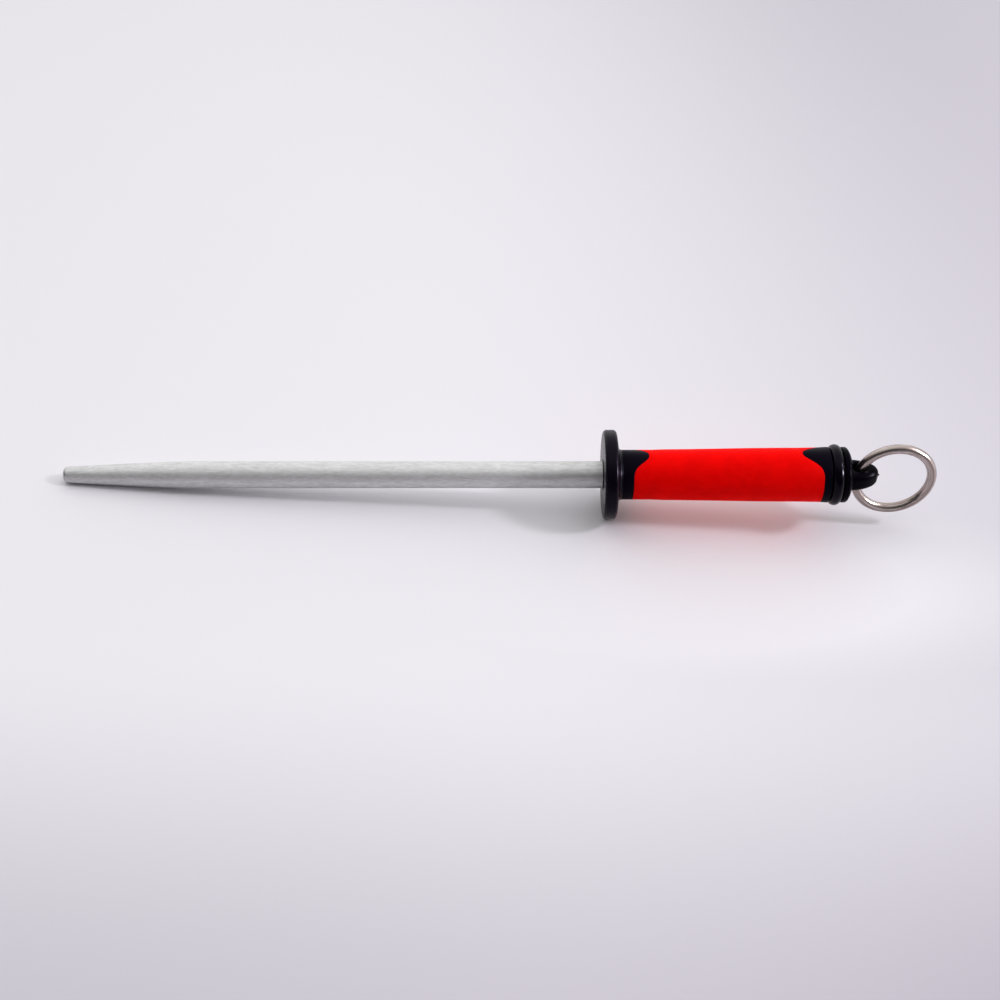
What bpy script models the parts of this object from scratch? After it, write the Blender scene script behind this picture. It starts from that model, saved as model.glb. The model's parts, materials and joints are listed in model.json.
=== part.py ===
"""Knife sharpening steel.

A round steel bar with a tang, a disc finger guard, a two-colour moulded handle, and a butt cap
whose tab holds a loose hanging ring. It lies as it would on a table: on the tip of the bar and
on the rim of the guard, with the butt in the air.

Every turned piece is drawn in the tool's own frame, whose +Z runs along the bar from the guard's
front face (0) towards the butt, whose +X points down and whose +Y is the world's +Y. Lengths are
in metres.
"""
import math

import bmesh
import bpy

# Sharpening bar, one piece with its tang
ROD_RADIUS = 0.0075
ROD_TIP = -0.300
ROD_TAPER_START = -0.236
ROD_TIP_RADIUS = 0.0045
ROD_TIP_ROUND = 0.0026
ROD_END = 0.013
TANG_RADIUS = 0.005
TANG_END = 0.105
TANG_GROOVES = (0.038, 0.060, 0.082)
TANG_GROOVE_WIDTH = 0.006
TANG_GROOVE_DEPTH = 0.001

# Finger guard
GUARD_RADIUS = 0.025
GUARD_RIM_WIDTH = 0.0074
GUARD_CORNER = 0.002
GUARD_ROOT = 0.0085
GUARD_FILLET = 0.002
GUARD_BACK = GUARD_ROOT + GUARD_FILLET

# Handle core and grip
GAP = 0.0003
MERGE_DISTANCE = 0.00001
COLLAR_RADIUS = 0.01385
CORE_FRONT = GUARD_BACK + GAP
BARREL_RADIUS = 0.0105
GRIP_FRONT = 0.0164
GRIP_TAIL = 0.1206
GRIP_TAIL_RADIUS = 0.0152
TAIL_RADIUS = 0.0155
CORE_END = 0.1250
TONGUE_FADE = 0.030
TONGUE_INSET = 1.5 * GAP / BARREL_RADIUS

# Radius of the grip along the handle: it swells to a fullest place and ends a little wider
GRIP_SWELL_START = 0.030
GRIP_SWELL_END = 0.112
GRIP_SWELL_STEPS = 5
GRIP_FULL_RADIUS = 0.0150

# The tongues of black that run into the grip: length, width as an angle, and how square they are
FRONT_TONGUE = (0.0086, math.radians(29.5), 2.5)
TAIL_TONGUE = (0.0106, math.radians(31), 2.0)

# Butt bead and cap
BEAD_RADIUS = 0.0170
BEAD_FRONT = CORE_END + GAP
BEAD_WIDTH = 0.0066
SPIGOT_RADIUS = 0.006
SPIGOT_START = 0.1120
CAP_RADIUS = 0.0155
CAP_FRONT = BEAD_FRONT + BEAD_WIDTH + GAP
CAP_BACK = 0.1371
CAP_DOME_DEPTH = 0.0029
CAP_DOME_WIDTH = 0.0070
CAP_DOME_STEPS = 6
TAB_WIDTH = 0.0186
TAB_THICKNESS = 0.010
TAB_ROUND_SEGMENTS = 4
TAB_ROUND_FROM = math.radians(60)
TAB_END = 0.1530
TAB_ROOT = 0.1361
TAB_OVERLAP = 0.1340
TAB_ROUND = 0.0030
HOLE_POSITION = 0.1419
HOLE_RADIUS = 0.004

# Hanging ring
RING_RADIUS = 0.0210
RING_WIRE = 0.00265
RING_PIVOT = HOLE_POSITION - 0.0003
RING_DROOP = math.radians(8)

# Facets
TURN_STEPS = 40
HANDLE_STEPS = 60
ARC_STEPS = 4
TAB_ARC_STEPS = 14
HOLE_SIDES = 28
RING_SEGMENTS = 48
RING_SIDES = 10

FLAT = math.radians(0.1)

COLLECTION_NAME = "knife_sharpening_steel"


def make_collection(name):
    """Link a new collection to the scene."""
    collection = bpy.data.collections.new(name)
    bpy.context.scene.collection.children.link(collection)
    return collection


def make_material(name, colour, roughness, metallic):
    """Make a Principled material from a linear colour."""
    material = bpy.data.materials.new(name)
    material.use_nodes = True
    shader = material.node_tree.nodes["Principled BSDF"]
    shader.inputs["Base Color"].default_value = (*colour, 1.0)
    shader.inputs["Roughness"].default_value = roughness
    shader.inputs["Metallic"].default_value = metallic
    return material


def add_object(name, mesh, collection, parent=None, material=None):
    """Add a mesh object, with its material and its parent."""
    piece = bpy.data.objects.new(name, mesh)
    collection.objects.link(piece)
    piece.parent = parent
    if material is not None:
        mesh.materials.append(material)
    return piece


def add_empty(name, collection, parent, location, rotation):
    """Add an empty that carries pieces."""
    empty = bpy.data.objects.new(name, None)
    empty.empty_display_size = 0.02
    collection.objects.link(empty)
    empty.parent = parent
    empty.location = location
    empty.rotation_euler = rotation
    return empty


def arc(centre_radius, centre_height, radius, start, end, steps=ARC_STEPS):
    """Points (radius, height) along an arc from start to end, in degrees above +radius."""
    points = []
    for index in range(steps + 1):
        angle = math.radians(start + (end - start) * index / steps)
        points.append((centre_radius + radius * math.cos(angle),
                       centre_height + radius * math.sin(angle)))
    return points


def profile_mesh(name, profile, closed):
    """Make a mesh of edges only from (radius, height) points."""
    points = [(radius, 0.0, height) for radius, height in profile]
    edges = [(index, index + 1) for index in range(len(points) - 1)]
    if closed:
        edges.append((len(points) - 1, 0))
    mesh = bpy.data.meshes.new(name)
    mesh.from_pydata(points, edges, [])
    return mesh


def add_screw(piece, steps):
    """Turn the profile once round the piece's Z axis."""
    screw = piece.modifiers.new("turned", "SCREW")
    screw.axis = "Z"
    screw.angle = math.tau
    screw.steps = steps
    screw.render_steps = steps
    screw.use_merge_vertices = True
    screw.merge_threshold = 0.00001
    screw.use_smooth_shade = True


def turned(name, profile, steps, closed, collection, parent, material):
    """Make a turned piece, with one of its facets level at the bottom."""
    mesh = profile_mesh(name, profile, closed)
    piece = add_object(name, mesh, collection, parent, material)
    add_screw(piece, steps)
    piece.rotation_euler = (0.0, 0.0, math.pi / steps)
    return piece


def evaluated_mesh(piece, name, merge_flat=False):
    """Return the piece's mesh, modifiers applied and doubles merged, as are flat faces if asked."""
    graph = bpy.context.evaluated_depsgraph_get()
    mesh = bpy.data.meshes.new_from_object(piece.evaluated_get(graph))
    mesh.name = name
    shape = bmesh.new()
    shape.from_mesh(mesh)
    bmesh.ops.remove_doubles(shape, verts=shape.verts, dist=MERGE_DISTANCE)
    if merge_flat:
        bmesh.ops.dissolve_limit(shape, angle_limit=FLAT, verts=shape.verts, edges=shape.edges)
    shape.to_mesh(mesh)
    shape.free()
    return mesh


def tongue(size, angle, inset):
    """Length of a tongue at an angle from +X: a bell whose middle is on top."""
    length, width, power = size
    off_top = abs(math.remainder(angle - math.pi, math.tau))
    return length * math.exp(-((off_top / (width - inset)) ** power))


def edge_shift(height, angle, inset):
    """How far the line between core and grip moves at a height along the handle.

    The whole shift is at the line itself, and it fades out over TONGUE_FADE inside the grip.
    The core's tongues are narrower by an inset angle, which leaves a gap beside them.
    """
    front = max(0.0, min(1.0, 1.0 - (height - GRIP_FRONT - GAP) / TONGUE_FADE))
    tail = max(0.0, min(1.0, 1.0 - (GRIP_TAIL - GAP - height) / TONGUE_FADE))
    return front * tongue(FRONT_TONGUE, angle, inset) - tail * tongue(TAIL_TONGUE, angle, inset)


def turned_with_tongues(name, profile, closed, inset, moves, collection, parent, material):
    """Make a turned piece whose vertices that pass moves(radius, height) follow the tongues."""
    draft = add_object(name + "_draft", profile_mesh(name, profile, closed), collection)
    add_screw(draft, HANDLE_STEPS)
    mesh = evaluated_mesh(draft, name)
    bpy.data.objects.remove(draft)
    for vertex in mesh.vertices:
        point = vertex.co
        if moves(math.hypot(point.x, point.y), point.z):
            point.z += edge_shift(point.z, math.atan2(point.y, point.x), inset)
    mesh.shade_smooth()
    return add_object(name, mesh, collection, parent, material)


def tang_line(gap):
    """Outer line of the tang, from its end to the bar, grown by a gap."""
    radius = TANG_RADIUS + gap
    neck = radius - TANG_GROOVE_DEPTH
    half = TANG_GROOVE_WIDTH / 2 - gap
    points = [(radius, TANG_END + gap)]
    for centre in reversed(TANG_GROOVES):
        points += [(radius, centre + half), (neck, centre + half)]
        points += [(neck, centre - half), (radius, centre - half)]
    points += [(radius, ROD_END + gap), (ROD_RADIUS + gap, ROD_END + gap)]
    return points


def make_rod(collection, parent):
    """Steel bar with its tang: parallel, then a long taper to a small rounded tip."""
    steel = make_material("rod_steel", (0.45, 0.44, 0.45), 0.35, 1.0)
    tip = arc(ROD_TIP_RADIUS - ROD_TIP_ROUND, ROD_TIP + ROD_TIP_ROUND, ROD_TIP_ROUND, 0, -90)
    profile = [(0.0, TANG_END)] + tang_line(0.0)
    profile += [(ROD_RADIUS, ROD_TAPER_START)] + tip + [(0.0, ROD_TIP)]
    return turned("sharpening_rod", profile, TURN_STEPS, False, collection, parent, steel)


def make_guard(collection, parent):
    """Disc finger guard: flat in front, coned behind, with a filleted hub."""
    black = make_material("guard_black", (0.012, 0.012, 0.014), 0.42, 0.0)
    inner = GUARD_RADIUS - GUARD_CORNER
    root = COLLAR_RADIUS + GUARD_FILLET
    profile = [(ROD_RADIUS + GAP, GUARD_BACK)]
    profile += arc(root, GUARD_BACK, GUARD_FILLET, 180, 270)
    profile += arc(inner, GUARD_RIM_WIDTH - GUARD_CORNER, GUARD_CORNER, 90, 0)
    profile += arc(inner, GUARD_CORNER, GUARD_CORNER, 0, -90)
    profile += [(ROD_RADIUS + GAP, 0.0)]
    return turned("finger_guard", profile, TURN_STEPS, True, collection, parent, black)


def make_core(collection, parent):
    """Black handle body moulded round the tang, with tongues at both ends of the grip."""
    black = make_material("core_black", (0.012, 0.012, 0.014), 0.4, 0.0)
    socket = SPIGOT_RADIUS + GAP
    profile = [(0.0, SPIGOT_START - GAP), (socket, SPIGOT_START - GAP), (socket, CORE_END)]
    profile += [(TAIL_RADIUS, CORE_END), (GRIP_TAIL_RADIUS, GRIP_TAIL)]
    profile += [(BARREL_RADIUS, GRIP_TAIL)]
    profile += [(BARREL_RADIUS, GRIP_FRONT), (COLLAR_RADIUS, GRIP_FRONT)]
    profile += [(COLLAR_RADIUS, CORE_FRONT), (ROD_RADIUS + GAP, CORE_FRONT)]
    profile += list(reversed(tang_line(GAP))) + [(0.0, TANG_END + GAP)]

    def at_grip_line(radius, height):
        """True on the two shoulders that the grip butts against."""
        return radius > BARREL_RADIUS - GAP and GRIP_FRONT - GAP < height < GRIP_TAIL + GAP

    return turned_with_tongues("handle_core", profile, False, TONGUE_INSET, at_grip_line,
                               collection, parent, black)


def make_grip(collection, parent):
    """Red grip moulded over the core's barrel, swelling towards the butt."""
    red = make_material("grip_red", (0.60, 0.004, 0.003), 0.45, 0.0)
    bore = BARREL_RADIUS + GAP
    front = GRIP_FRONT + GAP
    tail = GRIP_TAIL - GAP
    profile = [(bore, tail), (GRIP_TAIL_RADIUS, tail)]
    for index in range(GRIP_SWELL_STEPS, -1, -1):
        share = index / GRIP_SWELL_STEPS
        radius = COLLAR_RADIUS + (GRIP_FULL_RADIUS - COLLAR_RADIUS) * math.sin(share * math.pi / 2)
        profile.append((radius, GRIP_SWELL_START + (GRIP_SWELL_END - GRIP_SWELL_START) * share))
    profile += [(COLLAR_RADIUS, front), (bore, front)]
    return turned_with_tongues("grip_sleeve", profile, True, 0.0, lambda radius, height: True,
                               collection, parent, red)


def make_bead(collection, parent):
    """Half-round bead ring between the handle and the cap."""
    black = make_material("bead_black", (0.02, 0.02, 0.022), 0.6, 0.0)
    half = BEAD_WIDTH / 2
    bore = SPIGOT_RADIUS + GAP
    profile = [(bore, BEAD_FRONT + BEAD_WIDTH)]
    profile += arc(BEAD_RADIUS - half, BEAD_FRONT + half, half, 90, -90, 2 * ARC_STEPS)
    profile += [(bore, BEAD_FRONT)]
    return turned("butt_bead", profile, TURN_STEPS, True, collection, parent, black)


def make_tab(collection, parent):
    """Rounded flat tab behind the cap, as a mesh that the cap is joined to."""
    outline = bpy.data.curves.new("tab_outline", "CURVE")
    outline.dimensions = "2D"
    outline.fill_mode = "BOTH"
    outline.extrude = TAB_THICKNESS / 2
    points = [(-TAB_WIDTH / 2, TAB_OVERLAP), (TAB_WIDTH / 2, TAB_OVERLAP)]
    for index in range(TAB_ARC_STEPS + 1):
        angle = math.pi * index / TAB_ARC_STEPS
        across = TAB_WIDTH / 2 * math.cos(angle)
        points.append((across, TAB_ROOT + (TAB_END - TAB_ROOT) * math.sin(angle)))
    spline = outline.splines.new("POLY")
    spline.points.add(len(points) - 1)
    for target, (across, along) in zip(spline.points, points):
        target.co = (across, along, 0.0, 1.0)
    spline.use_cyclic_u = True
    draft = bpy.data.objects.new("tab_draft", outline)
    collection.objects.link(draft)
    mesh = evaluated_mesh(draft, "tab", merge_flat=True)
    bpy.data.objects.remove(draft)
    tab = add_object("tab", mesh, collection, parent)
    tab.rotation_euler = (math.pi / 2, 0.0, math.pi / 2)
    edges = tab.modifiers.new("rounded_edges", "BEVEL")
    edges.width = TAB_ROUND
    edges.segments = TAB_ROUND_SEGMENTS
    edges.limit_method = "ANGLE"
    edges.angle_limit = TAB_ROUND_FROM
    hide_cutter(tab)
    return tab


def make_hole_cutter(collection, parent):
    """Cylinder that bores the tab, square to its broad faces."""
    bpy.ops.mesh.primitive_cylinder_add(vertices=HOLE_SIDES, radius=HOLE_RADIUS,
                                        depth=3 * TAB_THICKNESS)
    cutter = bpy.context.object
    cutter.name = "tab_hole"
    for owner in list(cutter.users_collection):
        owner.objects.unlink(cutter)
    collection.objects.link(cutter)
    cutter.parent = parent
    cutter.location = (0.0, 0.0, HOLE_POSITION)
    cutter.rotation_euler = (0.0, math.pi / 2, 0.0)
    hide_cutter(cutter)
    return cutter


def hide_cutter(cutter):
    """Mark an object as a cutter, not a part."""
    cutter.hide_render = True
    cutter.display_type = "WIRE"


def add_boolean(piece, other, operation):
    """Join the piece to another body, or cut it with one."""
    boolean = piece.modifiers.new(operation.lower(), "BOOLEAN")
    boolean.operation = operation
    boolean.solver = "EXACT"
    boolean.object = other


def make_cap(collection, cutters, parent):
    """Butt cap: a spigot, a disc with a domed back, and the tab that holds the ring."""
    black = make_material("cap_black", (0.01, 0.01, 0.012), 0.25, 0.0)
    profile = [(0.0, CAP_BACK)]
    for index in range(CAP_DOME_STEPS + 1):
        angle = math.radians(90 - 90 * index / CAP_DOME_STEPS)
        profile.append((CAP_RADIUS - CAP_DOME_WIDTH * (1 - math.cos(angle)),
                        CAP_BACK - CAP_DOME_DEPTH * (1 - math.sin(angle))))
    profile += [(CAP_RADIUS, CAP_FRONT), (SPIGOT_RADIUS, CAP_FRONT)]
    profile += [(SPIGOT_RADIUS, SPIGOT_START), (0.0, SPIGOT_START)]
    cap = turned("butt_cap", profile, TURN_STEPS, False, collection, parent, black)
    add_boolean(cap, make_tab(cutters, parent), "UNION")
    add_boolean(cap, make_hole_cutter(cutters, parent), "DIFFERENCE")
    return cap


def make_ring(collection, hinge):
    """Closed round-wire ring, hung on an empty whose Z is the ring's swing axis."""
    steel = make_material("ring_steel", (0.55, 0.52, 0.50), 0.22, 1.0)
    bpy.ops.mesh.primitive_torus_add(major_segments=RING_SEGMENTS, minor_segments=RING_SIDES,
                                     major_radius=RING_RADIUS, minor_radius=RING_WIRE)
    ring = bpy.context.object
    ring.name = "hanging_ring"
    ring.data.shade_smooth()
    ring.data.materials.append(steel)
    for owner in list(ring.users_collection):
        owner.objects.unlink(ring)
    collection.objects.link(ring)
    ring.parent = hinge
    ring.location = (RING_RADIUS, 0.0, 0.0)
    ring.rotation_euler = (math.pi / 2, 0.0, 0.0)
    return ring


def resting_place():
    """Slope of the tool, and where its frame stands, when it lies on its tip and guard.

    Both contacts are on a level facet, so their radii are those of the facets' middles. The
    object's box is centred on the world's origin.
    """
    flat = math.cos(math.pi / TURN_STEPS)
    guard_radius = GUARD_RADIUS * flat
    tip_radius = ROD_TIP_RADIUS * flat
    tip_contact = ROD_TIP + ROD_TIP_ROUND
    slope = math.atan2(guard_radius - tip_radius, GUARD_CORNER - tip_contact)
    height = guard_radius * math.cos(slope) - GUARD_CORNER * math.sin(slope)
    tip_face = ROD_TIP_RADIUS - ROD_TIP_ROUND
    low_end = ROD_TIP * math.cos(slope) - tip_face * math.sin(slope)
    ring_centre = RING_PIVOT * math.cos(slope) + RING_RADIUS * math.cos(RING_DROOP - slope)
    high_end = ring_centre + RING_RADIUS + RING_WIRE
    return slope, (-(low_end + high_end) / 2, 0.0, height)


def main():
    """Build the sharpening steel."""
    for old in list(bpy.data.objects):
        bpy.data.objects.remove(old)
    parts = make_collection(COLLECTION_NAME)
    cutters = make_collection("cutters")
    slope, place = resting_place()
    tool = add_empty("tool_axis", parts, None, place, (0.0, math.pi / 2 - slope, 0.0))
    hinge = add_empty("ring_hinge", parts, tool, (0.0, 0.0, RING_PIVOT),
                      (0.0, RING_DROOP - math.pi / 2, 0.0))
    make_rod(parts, tool)
    make_guard(parts, tool)
    make_core(parts, tool)
    make_grip(parts, tool)
    make_bead(parts, tool)
    make_cap(parts, cutters, tool)
    make_ring(parts, hinge)


main()
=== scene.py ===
"""Looks of a butcher's sharpening steel: ribbed bar, finger guard, two-colour handle, butt, ring.

Every piece is shaped in the tool's own axes, +Z along the bar from the guard's front face towards
the butt and +X down, and is then laid where the fixed frame holds the tool. Lengths are metres.
"""

import json
import logging
import math
import random
from dataclasses import dataclass
from enum import Enum
from typing import Any, Callable, Iterable, Optional, Union

import bmesh
import bpy
from mathutils import Matrix, Vector


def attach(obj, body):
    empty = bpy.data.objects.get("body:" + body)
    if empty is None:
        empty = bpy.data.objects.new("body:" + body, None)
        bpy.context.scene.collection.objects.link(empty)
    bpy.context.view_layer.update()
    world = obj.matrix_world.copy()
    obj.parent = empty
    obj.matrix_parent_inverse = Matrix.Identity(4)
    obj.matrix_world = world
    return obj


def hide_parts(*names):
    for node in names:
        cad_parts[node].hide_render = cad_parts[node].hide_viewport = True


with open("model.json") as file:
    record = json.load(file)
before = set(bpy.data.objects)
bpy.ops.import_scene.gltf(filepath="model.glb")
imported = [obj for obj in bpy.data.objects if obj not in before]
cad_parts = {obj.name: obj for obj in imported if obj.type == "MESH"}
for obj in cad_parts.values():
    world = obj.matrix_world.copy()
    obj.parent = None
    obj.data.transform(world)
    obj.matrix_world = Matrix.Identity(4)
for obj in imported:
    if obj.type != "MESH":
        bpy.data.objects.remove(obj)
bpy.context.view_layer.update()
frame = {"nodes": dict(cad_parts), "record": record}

LOG = logging.getLogger("sharpening_steel")
MM = 0.001
MERGE = 1e-6
GUARD_MOUNT = "guard_front_face"
RING_JOINT = "ring_swing"
CENTRE = (0.0, 0.0, 0.0)

Pair = tuple[float, float]
Triple = tuple[float, float, float]
Colour = Triple
Profile = list[Pair]


class Body(Enum):
    """The rigid bodies that pieces ride on."""

    TOOL = "tool"
    RING = "ring"


class Slot(Enum):
    """The record's material slots."""

    ROD_STEEL = "rod_steel"
    BLACK_PLASTIC = "black_plastic"
    CAP_PLASTIC = "cap_plastic"
    RED_GRIP = "red_grip"
    RING_STEEL = "ring_steel"


class Fill(Enum):
    """How a starting circle is filled."""

    OPEN = "NOTHING"
    FACE = "NGON"


class Operation(Enum):
    """How one solid works on another."""

    JOIN = "UNION"
    CUT = "DIFFERENCE"


@dataclass(frozen=True)
class ToolFrame:
    """Where the tool lies: the guard's front centre and the bar's slope."""

    origin: Vector
    slope: float

    @classmethod
    def from_record(cls, record: dict[str, Any]) -> "ToolFrame":
        """Read the place from the guard's mount.

        Args:
            record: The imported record.

        Returns:
            The tool's frame.
        """
        mount = next(m for m in record["mounts"] if m["name"] == GUARD_MOUNT)
        place = Vector(mount["pos_m"])
        axis = Vector(mount["axis"])
        return cls(Vector((place.x, 0.0, place.z)), math.atan2(-axis.z, -axis.x))

    @property
    def turn(self) -> float:
        """Turn about the world's Y that carries +Z onto the bar's axis."""
        return math.pi / 2 - self.slope

    @property
    def matrix(self) -> Matrix:
        """Matrix from the tool's axes to the world."""
        return Matrix.Translation(self.origin) @ Matrix.Rotation(self.turn, 4, "Y")

    def points(self, node: str) -> list[Vector]:
        """List a CAD node's vertices in the tool's axes."""
        inverse = self.matrix.inverted()
        return [inverse @ vertex.co for vertex in frame["nodes"][node].data.vertices]

    def span(self, node: str) -> Pair:
        """Measure a CAD node's lowest and highest place along the bar's axis."""
        heights = [point.z for point in self.points(node)]
        return min(heights), max(heights)

    def girth(self, node: str) -> float:
        """Measure a CAD node's greatest radius about the bar's axis."""
        return max(math.hypot(point.x, point.y) for point in self.points(node))


def arc(radius: float, height: float, size: float, start: float, end: float,
        steps: int = 8) -> Profile:
    """Lay out a round stretch of a profile.

    Args:
        radius: Distance of the arc's centre from the axis.
        height: Height of the arc's centre.
        size: Radius of the arc.
        start: First angle, in degrees above the outward direction.
        end: Last angle.
        steps: Number of chords.

    Returns:
        Points as (radius, height).
    """
    points = []
    for index in range(steps + 1):
        angle = math.radians(start + (end - start) * index / steps)
        points.append((radius + size * math.cos(angle), height + size * math.sin(angle)))
    return points


def ease(share: float) -> float:
    """Smooth step from 0 to 1."""
    share = max(0.0, min(1.0, share))
    return share * share * (3.0 - 2.0 * share)


class Bench:
    """One mesh under work, shaped with Blender's edit tools in the tool's axes."""

    def __init__(self, name: str) -> None:
        """Name the piece that is made.

        Args:
            name: Name of the finished object.
        """
        self.name = name
        self.sides = 0

    @property
    def piece(self) -> bpy.types.Object:
        """The object in work."""
        return bpy.context.object

    def _open(self) -> None:
        """Name the new primitive and enter edit mode."""
        self.piece.name = self.name
        self.piece.data.name = self.name
        bpy.ops.object.mode_set(mode="EDIT")
        bpy.ops.mesh.select_mode(type="VERT")

    def circle(self, radius: float, height: float, sides: int, fill: Fill = Fill.OPEN) -> None:
        """Start from a circle round the axis, which stays selected.

        Args:
            radius: Its radius.
            height: Its height.
            sides: Number of vertices.
            fill: Whether it is filled.
        """
        bpy.ops.object.select_all(action="DESELECT")
        bpy.ops.mesh.primitive_circle_add(vertices=sides, radius=radius, fill_type=fill.value)
        self.sides = sides
        self._open()
        bpy.ops.transform.translate(value=(0.0, 0.0, height))

    def torus(self, radius: float, wire: float, turns: int, sides: int) -> None:
        """Start from a torus round the axis.

        Args:
            radius: Radius of the wire's middle line.
            wire: Radius of the wire.
            turns: Number of sections along the wire.
            sides: Number of vertices round the wire.
        """
        bpy.ops.object.select_all(action="DESELECT")
        bpy.ops.mesh.primitive_torus_add(major_radius=radius, minor_radius=wire,
                                         major_segments=turns, minor_segments=sides)
        self._open()

    def select(self, test: Callable[[Vector], bool]) -> None:
        """Select the vertices that pass a test, and no others.

        Args:
            test: Takes a vertex's place.
        """
        mesh = bmesh.from_edit_mesh(self.piece.data)
        for vertex in mesh.verts:
            vertex.select_set(test(vertex.co))
        mesh.select_flush_mode()
        bmesh.update_edit_mesh(self.piece.data)

    def select_edges(self, test: Callable[[Vector, Vector], bool]) -> int:
        """Select the edges that pass a test, and no others.

        Args:
            test: Takes the places of an edge's two ends.

        Returns:
            How many were selected.
        """
        bpy.ops.mesh.select_mode(type="EDGE")
        mesh = bmesh.from_edit_mesh(self.piece.data)
        for face in mesh.faces:
            face.select_set(False)
        for edge in mesh.edges:
            edge.select_set(False)
        count = 0
        for edge in mesh.edges:
            if test(edge.verts[0].co, edge.verts[1].co):
                edge.select_set(True)
                count += 1
        bmesh.update_edit_mesh(self.piece.data)
        return count

    def indices(self, test: Callable[[Vector], bool]) -> list[int]:
        """List the vertices that pass a test."""
        mesh = bmesh.from_edit_mesh(self.piece.data)
        return [vertex.index for vertex in mesh.verts if test(vertex.co)]

    def select_indices(self, chosen: Iterable[int]) -> None:
        """Select some vertices, and no others.

        Args:
            chosen: Their indices.
        """
        mesh = bmesh.from_edit_mesh(self.piece.data)
        mesh.verts.ensure_lookup_table()
        bpy.ops.mesh.select_all(action="DESELECT")
        for index in chosen:
            mesh.verts[index].select_set(True)
        mesh.select_flush_mode()
        bmesh.update_edit_mesh(self.piece.data)

    def swell(self, factor: float) -> None:
        """Scale the selection in both directions across the axis."""
        bpy.ops.transform.resize(value=(factor, factor, 1.0), center_override=CENTRE)

    def draw_up(self, profile: Profile) -> None:
        """Extrude the selected ring through the rest of a profile.

        Args:
            profile: Points as (radius, height); the ring in hand is at the first.
        """
        for (radius, height), (next_radius, next_height) in zip(profile, profile[1:]):
            rise = (0.0, 0.0, next_height - height)
            bpy.ops.mesh.extrude_region_move(TRANSFORM_OT_translate={"value": rise})
            self.swell(next_radius / radius)

    def turned(self, profile: Profile, sides: int) -> None:
        """Turn a solid: both ends of the profile are closed by flat faces.

        Args:
            profile: Points as (radius, height), none on the axis.
            sides: Number of facets.
        """
        self.circle(*profile[0], sides, Fill.FACE)
        self.draw_up(profile)

    def turned_tube(self, profile: Profile, sides: int) -> None:
        """Turn a ring: the profile is a loop that closes on its first point.

        Args:
            profile: Points as (radius, height), the first not repeated.
            sides: Number of facets.
        """
        self.circle(*profile[0], sides)
        self.draw_up(profile + profile[:1])
        self.merge()

    def merge(self) -> None:
        """Merge doubled vertices and point the faces outwards."""
        bpy.ops.mesh.select_all(action="SELECT")
        bpy.ops.mesh.remove_doubles(threshold=MERGE)
        bpy.ops.mesh.normals_make_consistent(inside=False)

    def slide_columns(self, low: float, high: float, shift: Callable[[float], float]) -> None:
        """Slide each column of a band along the axis, by an amount that depends on its angle.

        Args:
            low: Foot of the band.
            high: Top of the band.
            shift: Takes the angle off the tool's top, from 0 to pi.
        """
        mesh = bmesh.from_edit_mesh(self.piece.data)
        columns: dict[int, list[int]] = {}
        step = math.tau / self.sides
        for vertex in mesh.verts:
            if low - MERGE <= vertex.co.z <= high + MERGE:
                off_top = abs(math.atan2(vertex.co.y, -vertex.co.x))
                columns.setdefault(round(off_top / step), []).append(vertex.index)
        for number, column in columns.items():
            rise = shift(number * step)
            if abs(rise) > MERGE:
                self.select_indices(column)
                bpy.ops.transform.translate(value=(0.0, 0.0, rise))

    def close(self) -> bpy.types.Object:
        """Merge the mesh and leave edit mode.

        Returns:
            The object.
        """
        self.merge()
        bpy.ops.object.mode_set(mode="OBJECT")
        return self.piece


def boolean(piece: bpy.types.Object, other: bpy.types.Object, operation: Operation) -> None:
    """Join a piece to another solid or cut it with one, and use the other up.

    Args:
        piece: The solid that is kept.
        other: The solid that is used.
        operation: Whether the other solid is added or taken away.
    """
    bpy.ops.object.select_all(action="DESELECT")
    piece.select_set(True)
    bpy.context.view_layer.objects.active = piece
    modifier = piece.modifiers.new("join", "BOOLEAN")
    modifier.operation = operation.value
    modifier.solver = "EXACT"
    modifier.object = other
    bpy.ops.object.modifier_apply(modifier=modifier.name)
    bpy.data.objects.remove(other)


def place(piece: bpy.types.Object, matrix: Matrix, sharp: float = 35.0) -> bpy.types.Object:
    """Lay a finished piece in the world, with its place in its mesh, and shade it.

    Args:
        piece: The piece, in its own axes.
        matrix: From those axes to the world.
        sharp: Edges steeper than this many degrees stay sharp.

    Returns:
        The piece.
    """
    bpy.ops.object.select_all(action="DESELECT")
    piece.select_set(True)
    bpy.context.view_layer.objects.active = piece
    piece.matrix_world = matrix
    bpy.ops.object.transform_apply(location=True, rotation=True, scale=True)
    bpy.ops.object.shade_smooth_by_angle(angle=math.radians(sharp))
    return piece


def dress(piece: bpy.types.Object, finish: "Finish", body: Body, slot: Slot,
          *nodes: str) -> bpy.types.Object:
    """Give a piece its finish and its body, and hide the CAD nodes that it stands for.

    Args:
        piece: The finished piece.
        finish: What it is made of.
        body: The body that it rides on.
        slot: The record's material slot; not used.
        nodes: CAD nodes that it replaces.

    Returns:
        The piece.
    """
    piece.data.materials.clear()
    piece.data.materials.append(finish.material())
    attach(piece, body.value)
    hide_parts(*nodes)
    faces = len(piece.data.polygons)
    LOG.info("%s: %d faces, stands for %s", piece.name, faces, ", ".join(nodes))
    return piece


Value = Union["Signal", float]


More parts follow.
